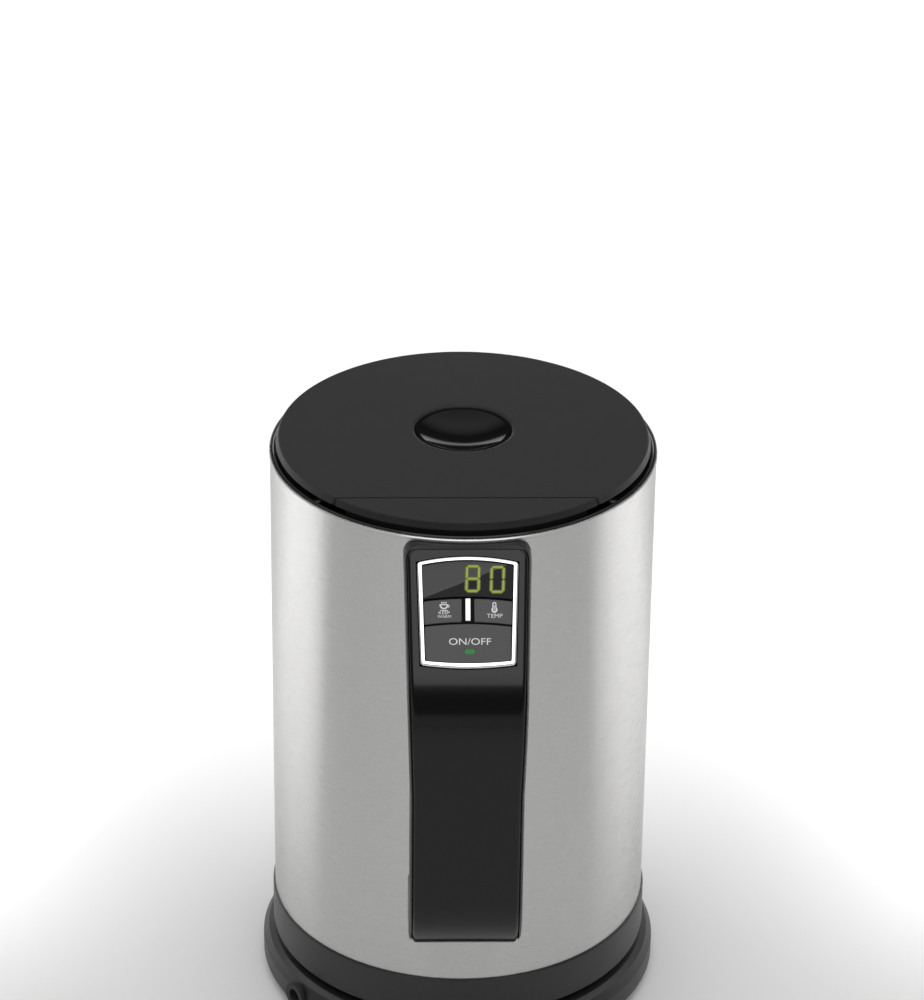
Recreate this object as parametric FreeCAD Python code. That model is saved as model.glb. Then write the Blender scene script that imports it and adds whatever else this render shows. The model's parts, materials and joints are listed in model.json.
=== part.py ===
"""Cordless electric kettle with a digital temperature panel in its handle, standing on its power base.

Frame: millimetres, +Z up, origin on the kettle's axis at the height of the surface it stands on.
The handle and its control panel point along -Y, the spout along +Y.
"""
import FreeCAD, Part
import math
import os

V = FreeCAD.Vector
X_AXIS, Y_AXIS, Z_AXIS = V(1, 0, 0), V(0, 1, 0), V(0, 0, 1)

# ---- driving dimensions, millimetres ----
BODY_R = 75.0            # outside of the brushed steel body
WALL = 0.8               # steel wall
RIM_Z = 236.0            # top edge of the steel body
LIP_R = 75.35            # outside of the rolled lip at that edge
LIP_H = 1.2
SKIRT_R = 75.8           # outside of the plastic skirt under the steel
SKIRT_Z = (20.0, 38.0)   # skirt's lower edge and its upper edge on the steel
FLOOR_Z = 58.0           # underside of the vessel's floor plate
FLOOR_T = 1.2
MOUTH_R = 66.6           # clear mouth inside the collar
COLLAR_R = 74.1          # outside of the collar, inside the steel
COLLAR_DEPTH = 14.0

LID_TOP = RIM_Z + 5.5    # lid's flat top
LID_FACE_R = 71.4        # edge of the flat top
LID_EDGE_R = 72.75       # foot of the lid's drafted side
LID_EDGE_H = 2.8         # height of that side
LID_SKIN = 1.9
SEAM_Y = -52.3           # straight seam between the lid and the fixed hinge cover
SEAM_GAP = 0.6
HINGE_Y = SEAM_Y + SEAM_GAP / 2 + 4.6
HINGE_Z = LID_TOP - 3.6
HINGE_ROD_R = 1.25
KNUCKLE_R = 2.7
BARREL_R = math.hypot(HINGE_Y - SEAM_Y - SEAM_GAP / 2, LID_TOP - HINGE_Z)
HINGE_GAP = 0.25         # play between the lid's barrel and what it turns in
PLUG_R = (65.4, 63.4)    # lid's plug, top and bottom
PLUG_Z = RIM_Z - 14.0    # underside of the lid's plug
BUTTON_Y = 5.0           # centre of the round lid button
BUTTON_R = 18.6
BUTTON_TRAVEL = 3.0

BASE_R = 80.0
FOOT_H = 2.0
DECK_Z = 18.0            # top of the power base, where the kettle rests

TILT = 40.0              # control panel's lean from the vertical, degrees
PANEL_TOP = (-79.0, 234.15)   # (y, z) of the fascia's upper edge
PANEL_L = 47.0           # straight length of the fascia below that edge
BEND_R = 43.0            # outside radius of the bend into the grip
GRIP_LOW_Z = 104.0       # lower end of the grip's straight stretch
FOOT_R = 34.0            # outside radius of the handle's lower bend
FOOT_SWEEP = 70.0
GRIP_T = 17.0
GRIP_Y = -(BODY_R + 44.27)   # the grip's outer face
FASCIA_T = 2.2
FASCIA_PROUD = 0.35      # how far it stands out of the shell
FASCIA_EDGE = 2.0        # radius of its long front edges
HANDLE_TOP = RIM_Z - 1.5
HANDLE_W = (48.1, 43.0)  # handle's width at its top and at the grip
TAPER_Z = 150.0          # the width is constant below this height
TOP_CORNER = 5.0         # radius of its two upper corners
BUTTON_STROKE = 0.8      # travel of the three panel buttons
SCREW_X = 9.0            # handle screws, put in from inside the vessel
SCREW_Z = (206.0, 77.0)

PARTS = {}


# ---- helpers ----
def keep(name, shape):
    """Files a finished sub-part under its node name."""
    PARTS[name] = shape.removeSplitter() if shape.ShapeType == "Solid" else shape


def ring(r_in, r_out, z0, z1):
    """A plain round ring or disc about the kettle's axis."""
    disc = Part.makeCylinder(r_out, z1 - z0, V(0, 0, z0))
    return disc.cut(Part.makeCylinder(r_in, z1 - z0, V(0, 0, z0))) if r_in > 0 else disc


def turned(points, centre=V(0, 0, 0)):
    """A solid of revolution about Z from (radius, z) corners."""
    wire = Part.makePolygon([V(r, 0, z) for r, z in points] + [V(points[0][0], 0, points[0][1])])
    solid = Part.Face(wire).revolve(V(0, 0, 0), Z_AXIS, 360)
    solid.translate(centre)
    return solid


def block(x0, x1, y0, y1, z0, z1):
    return Part.makeBox(x1 - x0, y1 - y0, z1 - z0, V(x0, y0, z0))


def rod(radius, x0, x1, y, z):
    """A cylinder along X."""
    return Part.makeCylinder(radius, x1 - x0, V(x0, y, z), X_AXIS)


def fused(*shapes):
    out = shapes[0]
    for s in shapes[1:]:
        out = out.fuse(s)
    return out.removeSplitter()


def cut(shape, *tools):
    for t in tools:
        shape = shape.cut(t)
    return shape


def solid_of(shape):
    """The one solid in a boolean's result."""
    solids = shape.Solids
    if len(solids) != 1:
        raise ValueError(f"expected one solid, found {len(solids)}")
    return solids[0]


def group(shapes):
    """Separate solids that share a node."""
    return Part.makeCompound([s.Solids[0] for s in shapes])


def on_circle(radius, degrees):
    """The (x, y) of a point at an angle about the kettle's axis."""
    return radius * math.cos(math.radians(degrees)), radius * math.sin(math.radians(degrees))


def around(shape, count, start=0.0):
    """Copies of a shape spread evenly about the kettle's axis."""
    out = []
    for i in range(count):
        s = shape.copy()
        s.rotate(V(0, 0, 0), Z_AXIS, start + 360.0 * i / count)
        out.append(s)
    return out


def screw(x, y, z_head, length, radius=1.5):
    """A pan-head screw with a cross recess, pointing up; the flat under its head is at z_head."""
    head_r, head_h = 2 * radius, 1.3 * radius
    slot_w, slot_l, slot_d = 0.5 * radius, 2.4 * radius, 0.7 * radius
    out = fused(Part.makeCylinder(radius, length), Part.makeCylinder(head_r, head_h, V(0, 0, -head_h)))
    for a, b in ((slot_w, slot_l), (slot_l, slot_w)):
        out = out.cut(block(-a / 2, a / 2, -b / 2, b / 2, -head_h, -head_h + slot_d))
    out = solid_of(out)
    out.translate(V(x, y, z_head))
    return out


def coil(radius, wire, pitch, height, base):
    """A compression spring standing at base: an open helix of round wire."""
    helix = Part.makeLongHelix(pitch, height, radius)
    start = helix.Vertexes[0].Point
    lean = math.atan2(pitch, 2 * math.pi * radius)
    section = Part.Wire(Part.makeCircle(wire / 2, start, V(0, math.cos(lean), math.sin(lean))))
    spring = Part.Wire(helix.Edges).makePipeShell([section], True, True)
    spring.translate(base)
    return spring


# ---- power base ----
CORD_EXIT_Z = 9.6
CORD_HOLE_R = 3.4
BOSS_R = 17.5            # connector boss on the power base
BOSS_TOP = DECK_Z + 9.0
SHUTTER_R = (12.6, 15.4)
GLAND_A = 215.0          # the cord's outlet, degrees about the axis


def power_base():
    shell_t = 2.4
    outer = turned([(0, FOOT_H), (BASE_R - 3, FOOT_H), (BASE_R, FOOT_H + 3), (BASE_R, DECK_Z - 6),
                    (BASE_R - 2.2, DECK_Z - 2.4), (BASE_R - 4.5, DECK_Z - 1.2), (68, DECK_Z), (0, DECK_Z)])
    hollow = turned([(0, FOOT_H + 3), (BASE_R - shell_t, FOOT_H + 3), (BASE_R - shell_t, DECK_Z - 4.8),
                     (BASE_R - 5, DECK_Z - 3.2), (66, DECK_Z - shell_t), (0, DECK_Z - shell_t)])
    opening = Part.makeCylinder(BASE_R - 6.0, 4.0, V(0, 0, FOOT_H - 0.5))
    boss = ring(BOSS_R - 1.6, BOSS_R, DECK_Z - shell_t, BOSS_TOP)
    shell = fused(cut(outer, hollow, opening, Part.makeCylinder(BOSS_R - 1.6, 12, V(0, 0, DECK_Z - 6))), boss)
    for r in (28.0, 52.0):   # shallow drip grooves round the boss
        low, high = DECK_Z - 0.7, DECK_Z + 1
        shell = shell.cut(turned([(r - 1, low), (r + 1, low), (r + 1.4, high), (r - 1.4, high)]))
    gland_hole = Part.makeCylinder(4.7, 14, V(BASE_R - 10, 0, CORD_EXIT_Z), X_AXIS)
    gland_hole.rotate(V(0, 0, 0), Z_AXIS, GLAND_A)
    shell = shell.cut(gland_hole)
    posts = around(Part.makeCylinder(3.6, DECK_Z - FOOT_H - 5.2, V(58, 0, FOOT_H + 3.4)), 4, 45)
    holes = around(Part.makeCylinder(1.5, 8.6, V(58, 0, FOOT_H + 3.4)), 4, 45)
    shell = cut(fused(shell, *posts), *holes)
    keep("base_housing", solid_of(shell))

    plate = ring(0, BASE_R - 6.4, FOOT_H, FOOT_H + 3.0)
    plate = plate.cut(ring(24, 44, FOOT_H - 0.5, FOOT_H + 1.2))    # cord channel, open below
    channel = block(43, BASE_R, -4.4, 4.4, FOOT_H - 0.5, FOOT_H + 1.2)
    channel.rotate(V(0, 0, 0), Z_AXIS, GLAND_A)
    plate = plate.cut(channel)
    screw_holes = around(Part.makeCylinder(1.7, 6, V(58, 0, 0)), 4, 45)
    head_seats = around(Part.makeCylinder(3.3, 1.2, V(58, 0, FOOT_H - 0.01)), 4, 45)
    foot_seats = around(Part.makeCylinder(7.1, 1.2, V(66, 0, FOOT_H - 0.01)), 4, 0)
    middle_seat = Part.makeCylinder(7.1, 1.2, V(0, 0, FOOT_H - 0.01))
    plate = cut(plate, *screw_holes, *head_seats, *foot_seats, middle_seat)
    keep("base_cover", solid_of(plate))

    foot = Part.makeCylinder(7.0, FOOT_H + 1.1, V(66, 0, 0))
    foot = foot.makeFillet(0.6, [e for e in foot.Edges if e.BoundBox.ZMax < 0.01])
    keep("base_feet", group(around(foot, 4, 0) + [foot.translated(V(-66, 0, 0))]))
    spots = [on_circle(58, a) for a in (45, 135, 225, 315)]
    keep("base_screws", group([screw(x, y, FOOT_H + 1.19, 9.0, 1.45) for x, y in spots]))

    gland = cut(fused(Part.makeCylinder(4.65, 7.5, V(BASE_R - 6.5, 0, CORD_EXIT_Z), X_AXIS),
                      Part.makeCylinder(5.9, 1.6, V(BASE_R + 0.05, 0, CORD_EXIT_Z), X_AXIS)),
                Part.makeCylinder(CORD_HOLE_R, 12, V(BASE_R - 8, 0, CORD_EXIT_Z), X_AXIS))
    gland.rotate(V(0, 0, 0), Z_AXIS, GLAND_A)
    keep("cord_gland", solid_of(gland))


def base_connector():
    """The base's half of the round connector: a block with ring slots, its contacts and a sprung ring."""
    z0, z1 = FOOT_H + 5.2, BOSS_TOP - 0.6
    block_r = BOSS_R - 1.8
    outer_slot = ring(SHUTTER_R[0] - 0.3, SHUTTER_R[1] + 0.15, z1 - 11, z1 + 1)
    inner_slot = ring(6.4, 9.4, z1 - 11, z1 + 1)
    pin_hole = Part.makeCylinder(2.7, 16, V(0, 0, z1 - 13))
    socket = cut(ring(0, block_r, z0, z1), outer_slot, inner_slot, pin_hole)
    flange = ring(block_r, 24, z0, z0 + 2.2)
    keep("base_socket", solid_of(fused(socket, flange)))
    # three sprung contact leaves in the slots
    pin = Part.makeCylinder(1.1, 7, V(0, 0, z1 - 12.9))
    leaf_a = block(6.6, 7.4, -1.6, 1.6, z1 - 10.9, z1 - 3)
    leaf_b = block(SHUTTER_R[0] - 0.15, SHUTTER_R[0] + 0.5, -1.6, 1.6, z1 - 10.9, z1 - 7.5)
    leaf_b.rotate(V(0, 0, 0), Z_AXIS, 120)
    keep("base_contacts", group([pin, leaf_a, leaf_b]))
    shutter = ring(SHUTTER_R[0], SHUTTER_R[1], z1 - 4.2, z1 - 0.9)
    keep("shutter_ring", solid_of(shutter))
    keep("shutter_spring", coil(14.0, 0.8, 1.9, 4.75, V(0, 0, z1 - 9.4)))


# ---- kettle underside ----
PROBE_AT = (30.0, 22.0)  # temperature probe, through the vessel's floor


def kettle_underside():
    t = 2.2
    z0, z1 = SKIRT_Z
    skirt = turned([(BODY_R - 4, z0), (SKIRT_R - 1.2, z0), (SKIRT_R, z0 + 1.2), (SKIRT_R, z1 - 0.8),
                    (SKIRT_R - 0.6, z1), (BODY_R + 0.1, z1), (BODY_R + 0.1, z1 - 4), (BODY_R - t, z1 - 4),
                    (BODY_R - t, z0 + 2), (BODY_R - 4, z0 + 2)])
    # the floor dips to a ring that the kettle stands on
    floor = turned([(24.0, z0 + 2), (56, z0 + 2), (58, z0 - 2.0), (64, z0 - 2.0), (66, z0), (BODY_R - 3, z0),
                    (BODY_R - 3, z0 + t), (67.4, z0 + t), (64.6, z0 + 0.2), (57.6, z0 + 0.2),
                    (55.6, z0 + 2 + t), (24.0, z0 + 2 + t)])
    bottom = fused(skirt, floor)
    bosses = around(Part.makeCylinder(3.6, 14, V(48, 0, z0 + 3)), 3, 30)
    holes = around(Part.makeCylinder(1.5, 12, V(48, 0, z0 + 6.5)), 3, 30)
    head_seats = around(Part.makeCylinder(3.1, 4.8, V(48, 0, z0)), 3, 30)
    shank_holes = around(Part.makeCylinder(1.7, 9, V(48, 0, z0)), 3, 30)
    keep("bottom_housing", solid_of(cut(fused(bottom, *bosses), *holes, *head_seats, *shank_holes)))
    spots = [on_circle(48, a) for a in (30, 150, 270)]
    keep("bottom_screws", group([screw(x, y, z0 + 4.79, 11.0, 1.45) for x, y in spots]))

    # kettle's half of the connector: a cup over the base's boss with two contact tubes and a pin
    top = FLOOR_Z - 15.0
    cup = turned([(BOSS_R + 0.8, z0 + 1.2), (23.6, z0 + 1.2), (23.6, z0 + 8), (21.5, top), (0, top),
                  (0, BOSS_TOP + 1.2), (BOSS_R + 0.8, BOSS_TOP + 1.2)])
    keep("coupler", solid_of(cup))
    roof = BOSS_TOP + 1.2
    outer_tube = ring(SHUTTER_R[0] + 0.55, SHUTTER_R[0] + 1.4, roof - 4.9 + 2.3, roof)
    inner_tube = ring(7.6, 8.6, roof - 8.0, roof)
    earth = Part.makeCylinder(2.2, 7.0, V(0, 0, roof - 7.0))
    keep("coupler_contacts", group([outer_tube, inner_tube, earth]))

    plate = ring(0, BODY_R - WALL - 0.05, FLOOR_Z, FLOOR_Z + FLOOR_T)
    px, py = PROBE_AT
    keep("vessel_floor", solid_of(plate.cut(Part.makeCylinder(3.05, 6, V(px, py, FLOOR_Z - 2)))))
    spreader = ring(0, 60, FLOOR_Z - 3.0, FLOOR_Z - 0.02)
    keep("heat_spreader", solid_of(spreader.cut(Part.makeCylinder(6.3, 8, V(px, py, FLOOR_Z - 5)))))

    # tubular element: most of a ring, with both ends turned down as cold tails
    tube_r, loop_r, z = 3.4, 48.0, FLOOR_Z - 3.0 - 3.45
    loop = Part.makeTorus(loop_r, tube_r, V(0, 0, z), Z_AXIS, -180, 180, 310)
    loop.rotate(V(0, 0, 0), Z_AXIS, 115)
    tails = []
    for a in (115, 65):
        p = V(*on_circle(loop_r, a), z)
        tails += [Part.makeSphere(tube_r, p), Part.makeCylinder(tube_r, 9.0, p, V(0, 0, -1)),
                  Part.makeCylinder(1.2, 14.0, p, V(0, 0, -1))]
    keep("heating_element", solid_of(fused(loop, *tails)))

    gasket_r = BODY_R - WALL - 0.1
    gasket = turned([(gasket_r, FLOOR_Z - 5), (gasket_r, FLOOR_Z - 0.05), (69, FLOOR_Z - 0.05),
                     (69, FLOOR_Z - 2.5), (71, FLOOR_Z - 5)])
    keep("floor_gasket", gasket)

    probe = fused(Part.makeCylinder(3.0, 16, V(px, py, FLOOR_Z - 9)),
                  Part.makeSphere(3.0, V(px, py, FLOOR_Z + 7)),
                  Part.makeCylinder(5.4, 1.4, V(px, py, FLOOR_Z + FLOOR_T + 0.02)))
    keep("temperature_probe", solid_of(probe))
    corners = [on_circle(6.0, 60 * i) for i in range(7)]
    flats = Part.makePolygon([V(px + x, py + y, FLOOR_Z - 6.6) for x, y in corners])
    nut = Part.Face(flats).extrude(V(0, 0, 3.5)).cut(Part.makeCylinder(3.02, 8, V(px, py, FLOOR_Z - 8)))
    keep("probe_nut", solid_of(nut))

    # bimetal cut-out clamped under the element's middle, with two blade terminals
    cutout = fused(Part.makeCylinder(9, 6, V(0, 0, FLOOR_Z - 9.1)),
                   block(-14, 14, -3.5, 3.5, FLOOR_Z - 9.1, FLOOR_Z - 7.3),
                   block(-3, -1.8, -12, 12, FLOOR_Z - 12.6, FLOOR_Z - 8.2),
                   block(1.8, 3, -12, 12, FLOOR_Z - 12.6, FLOOR_Z - 8.2))
    keep("thermal_cutout", solid_of(cutout))

    board_z = z0 + 17.2
    board = ring(26, 62, board_z, board_z + 1.6).common(block(-62, 62, -62, -8, board_z, board_z + 1.6))
    keep("power_board", solid_of(board.cut(Part.makeCylinder(4.2, 20, V(0, -48, z0)))))
    relay = block(-48, -28, -34, -18.5, board_z + 1.6, board_z + 1.6 + 9.0)
    keep("relay", relay.makeFillet(0.8, relay.Edges))
    terminals = [block(x, x + 6.3, -46, -45.2, board_z + 1.6, board_z + 9.5) for x in (16, 25, 34)]
    keep("board_terminals", group(terminals))


# ---- vessel ----
SPOUT_Z = (170.0, 226.0)   # spout's lower point and its open top
SPOUT_BACK = 62.0          # inside the steel, where its sections start
SPOUT_HALF = (6.0, 28.6)   # half width there, at the point and at the top
SPOUT_TIP = (75.6, 97.0)   # how far it reaches, at the point and at the top
SPOUT_NOSE = (2.0, 4.0)    # radius of its rounded edge
MOUTH_Z = (196.0, 219.0)   # opening in the steel behind the spout
MOUTH_HALF = (6.0, 14.0)
WINDOW_Z = (98.0, 178.0)   # water level window behind the handle
WINDOW_W = 9.0


def between(pair, t):
    return pair[0] + (pair[1] - pair[0]) * t


def spout_section(t, inset):
    """A level section of the spout, t of the way up: a triangle with a rounded tip."""
    z, half = between(SPOUT_Z, t), between(SPOUT_HALF, t) - 1.6 * inset
    tip, nose = between(SPOUT_TIP, t) - 1.3 * inset, max(0.7, between(SPOUT_NOSE, t) - inset)
    centre = tip - nose
    reach = centre - SPOUT_BACK
    # direction, from the tip's centre, of the point where a straight side meets the rounded tip
    a = math.acos(nose / math.hypot(half, reach)) - math.atan2(reach, half)
    x, y = nose * math.cos(a), centre + nose * math.sin(a)
    left, right = V(-half, SPOUT_BACK, z), V(half, SPOUT_BACK, z)
    sides = lines([V(-x, y, z), left, right, V(x, y, z)])
    return Part.Wire(sides + [Part.Arc(V(x, y, z), V(0, tip, z), V(-x, y, z)).toShape()])


def beak(t_low, t_high, inset):
    return Part.makeLoft([spout_section(t_low, inset), spout_section(t_high, inset)], True, True)


def tall_slot(half_low, half_high, z0, z1, y0, y1, corner):
    """A flat-topped opening with rounded corners, cut through the wall along Y."""
    corners = [V(-half_low, y0, z0), V(half_low, y0, z0), V(half_high, y0, z1), V(-half_high, y0, z1)]
    slot = Part.Face(Part.makePolygon(corners + corners[:1])).extrude(V(0, y1 - y0, 0))
    return slot.makeFillet(corner, [e for e in slot.Edges if abs(e.tangentAt(0).y) > 0.9])


def vessel():
    r = BODY_R - WALL
    tube = turned([(r, SKIRT_Z[1] - 3.9), (BODY_R, SKIRT_Z[1] - 3.9), (BODY_R, RIM_Z - LIP_H),
                   (LIP_R - 0.12, RIM_Z - LIP_H), (LIP_R, RIM_Z - LIP_H + 0.15), (LIP_R, RIM_Z - 0.4),
                   (LIP_R - 0.35, RIM_Z), (BODY_R - 0.6, RIM_Z), (r, RIM_Z - 0.3)])
    mouth = tall_slot(*MOUTH_HALF, *MOUTH_Z, 60, 90, 3.0)
    slot = tall_slot(WINDOW_W / 2, WINDOW_W / 2, *WINDOW_Z, -90, -60, 4.4)
    holes = [Part.makeCylinder(2.2, 12, V(x, -82, z), Y_AXIS) for x in (-SCREW_X, SCREW_X) for z in SCREW_Z]
    keep("steel_body", solid_of(cut(tube, mouth, slot, *holes)))

    shell = cut(beak(0, 1, 0), beak(0, 1.05, 1.0), Part.makeCylinder(BODY_R + 0.03, 300))
    keep("spout", max(shell.Solids, key=lambda piece: piece.Volume))

    frame = ring(r - 1.7, r - 0.05, MOUTH_Z[0] - 3.5, MOUTH_Z[1] + 3.0)
    frame = frame.common(block(-18, 18, 60, 90, 180, 240))
    cols, rows, step, hole = 9, 7, 3.3, 2.5
    middle = sum(MOUTH_Z) / 2
    for i in range(cols):
        for j in range(rows):
            cx, cz = (i - (cols - 1) / 2) * step, middle + (j - (rows - 1) / 2) * step
            frame = frame.cut(block(cx - hole / 2, cx + hole / 2, 60, 90, cz - hole / 2, cz + hole / 2))
    keep("spout_filter", solid_of(frame))

    half = WINDOW_W / 2
    gauge = ring(BODY_R + 0.03, BODY_R + 0.9, WINDOW_Z[0] - 5, WINDOW_Z[1] + 5)
    insert = tall_slot(half - 0.1, half - 0.1, WINDOW_Z[0] + 0.1, WINDOW_Z[1] - 0.1, -90, -60, 4.3)
    insert = insert.common(ring(BODY_R - 2.0, BODY_R + 0.1, 80, 200))
    keep("level_window", solid_of(fused(gauge.common(block(-8, 8, -90, -60, 80, 200)), insert)))
    seat = ring(r - 1.2, r - 0.03, WINDOW_Z[0] - 4, WINDOW_Z[1] + 4)
    seat = seat.common(block(-7.5, 7.5, -90, -60, 80, 200))
    keep("window_gasket", solid_of(seat.cut(block(-half, half, -90, -60, *WINDOW_Z))))


# ---- collar, hinge and lid ----
EAR_X = (38.4, 43.4)     # the collar's two hinge ears
SPRING_X = 18.5          # half the length of rod left free for the springs
SPRING_POST_Y = 27.6     # the bolt spring's post in the lid
COVER_POSTS = ((-22.0, -59.5), (22.0, -59.5))
LID_SCREWS = ((-40.0, -20.0), (40.0, -20.0), (-38.0, 38.0), (38.0, 38.0))


def lid_profile_outer():
    """The lid's outer form, shared by the lid and the fixed hinge cover."""
    foot = LID_TOP - LID_EDGE_H
    return turned([(0, LID_TOP - 5.7), (LID_EDGE_R - 4, LID_TOP - 5.7), (LID_EDGE_R - 1.6, foot - 0.5),
                   (LID_EDGE_R - 0.4, foot - 0.3), (LID_EDGE_R, foot), (LID_FACE_R + 0.45, LID_TOP - 0.3),
                   (LID_FACE_R, LID_TOP), (0, LID_TOP)])


def collar():
    low, r_in = RIM_Z - COLLAR_DEPTH, MOUTH_R
    body = turned([(r_in, low), (COLLAR_R, low), (COLLAR_R, RIM_Z - 0.5), (COLLAR_R - 0.15, RIM_Z + 0.15),
                   (COLLAR_R - 0.6, RIM_Z + 0.55), (COLLAR_R - 1.4, RIM_Z + 0.5),
                   (COLLAR_R - 2.2, RIM_Z - 0.4), (r_in + 2.2, RIM_Z - 0.4), (r_in + 1.4, RIM_Z - 1.4),
                   (r_in, RIM_Z - 8)])
    swing = rod(BARREL_R + HINGE_GAP, -60, 60, HINGE_Y, HINGE_Z)
    swing = swing.common(Part.makeCylinder(LID_EDGE_R + 0.3, 60, V(0, 0, 200)))
    notch = block(-6.3, 6.3, MOUTH_R - 3, MOUTH_R + 2.6, RIM_Z - 7.9, RIM_Z + 2)
    body = cut(body, swing, notch)
    ears = []
    for s in (-1, 1):
        x0, x1 = sorted((s * EAR_X[0], s * EAR_X[1]))
        wall = sorted((s * EAR_X[0], s * 50.0))
        ears.append(rod(KNUCKLE_R, x0, x1, HINGE_Y, HINGE_Z))
        ears.append(block(x0, x1, HINGE_Y - 1.6, HINGE_Y + KNUCKLE_R - 0.4, low, HINGE_Z))
        foot = block(*wall, HINGE_Y - 1.6, HINGE_Y + KNUCKLE_R - 0.4, low, HINGE_Z - BARREL_R - HINGE_GAP)
        ears.append(foot.common(Part.makeCylinder(r_in + 1.0, 60, V(0, 0, 200))))
    bore = rod(HINGE_ROD_R + 0.002, -EAR_X[1] - 3, EAR_X[1] + 3, HINGE_Y, HINGE_Z)
    # shelf that carries the hinge cover behind the seam
    shelf = ring(0, r_in + 0.5, low, low + 2.4).common(block(-60, 60, -80, SEAM_Y - 3.2, 0, 300))
    keep("collar_ring", solid_of(cut(fused(body, *ears, shelf), bore)))

    cover = lid_profile_outer().common(block(-80, 80, -80, SEAM_Y - SEAM_GAP / 2, 200, 260))
    socket = rod(BARREL_R + HINGE_GAP, -80, 80, HINGE_Y, HINGE_Z)
    inner = ring(0, LID_EDGE_R - 3.6, LID_TOP - 8, LID_TOP - LID_SKIN)
    cover = cut(cover, socket, inner.common(block(-80, 80, -80, SEAM_Y - 4.6, 200, 260)))
    # its skirt drops onto the collar all round its outer edge
    skirt = ring(LID_EDGE_R - 3.6, LID_EDGE_R - 1.9, RIM_Z - 0.38, RIM_Z + 2.4)
    skirt = skirt.common(block(-80, 80, -80, SEAM_Y - SEAM_GAP / 2 - 1.8, 200, 260)).cut(socket)
    post_z = low + 2.42
    posts = [Part.makeCylinder(2.6, LID_TOP - 1.0 - post_z, V(x, y, post_z)) for x, y in COVER_POSTS]
    bores = [Part.makeCylinder(1.2, 9, V(x, y, low)) for x, y in COVER_POSTS]
    keep("hinge_cover", solid_of(cut(fused(cover, skirt, *posts), *bores)))
    keep("hinge_rod", rod(HINGE_ROD_R, -EAR_X[1] - 1.5, EAR_X[1] + 1.5, HINGE_Y, HINGE_Z))


def torsion_spring(x0):
    """The coil of a hinge spring, round the rod."""
    turns, wire, radius, pitch = 6, 0.7, 2.2, 1.35
    spring = coil(radius, wire, pitch, pitch * turns, V(0, 0, 0))
    spring.rotate(V(0, 0, 0), Y_AXIS, 90)
    spring.translate(V(x0, HINGE_Y, HINGE_Z))
    return spring


def lid_skin():
    """The lid's shell: its rear edge is round, to turn beside the fixed cover, and carries two knuckles."""
    inner = turned([(0, LID_TOP - 8), (LID_EDGE_R - 4.2, LID_TOP - 8), (LID_EDGE_R - 3.2, LID_TOP - LID_SKIN),
                    (0, LID_TOP - LID_SKIN)])
    skin = lid_profile_outer().cut(inner)
    barrel = rod(BARREL_R, -80, 80, HINGE_Y, HINGE_Z)
    strip = skin.common(barrel).common(block(-80, 80, SEAM_Y + SEAM_GAP / 2, HINGE_Y, 200, 260))
    strip = strip.cut(block(-EAR_X[1] - 4.0, EAR_X[1] + 4.0, -80, HINGE_Y + 0.01, 200, LID_TOP - LID_SKIN))
    skin = fused(skin.common(block(-80, 80, HINGE_Y, 80, 200, 260)), strip)
    for s in (-1, 1):
        x0, x1 = sorted((s * (SPRING_X + 0.3), s * (EAR_X[0] - 0.3)))
        knuckle = rod(KNUCKLE_R, x0, x1, HINGE_Y, HINGE_Z)
        web = block(x0, x1, HINGE_Y - KNUCKLE_R, HINGE_Y + 5.5, HINGE_Z, LID_TOP - LID_SKIN + 0.1)
        skin = fused(skin, knuckle, web)
    clear = [rod(HINGE_ROD_R + 0.05, -EAR_X[1] - 2, EAR_X[1] + 2, HINGE_Y, HINGE_Z),
             rod(KNUCKLE_R + 0.2, -SPRING_X, SPRING_X, HINGE_Y, HINGE_Z)]
    for s in (-1, 1):
        x0, x1 = sorted((s * (EAR_X[0] - 0.3), s * (EAR_X[1] + 4.0)))
        clear.append(rod(KNUCKLE_R + 0.3, x0, x1, HINGE_Y, HINGE_Z))
    return cut(skin, *clear)


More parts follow.
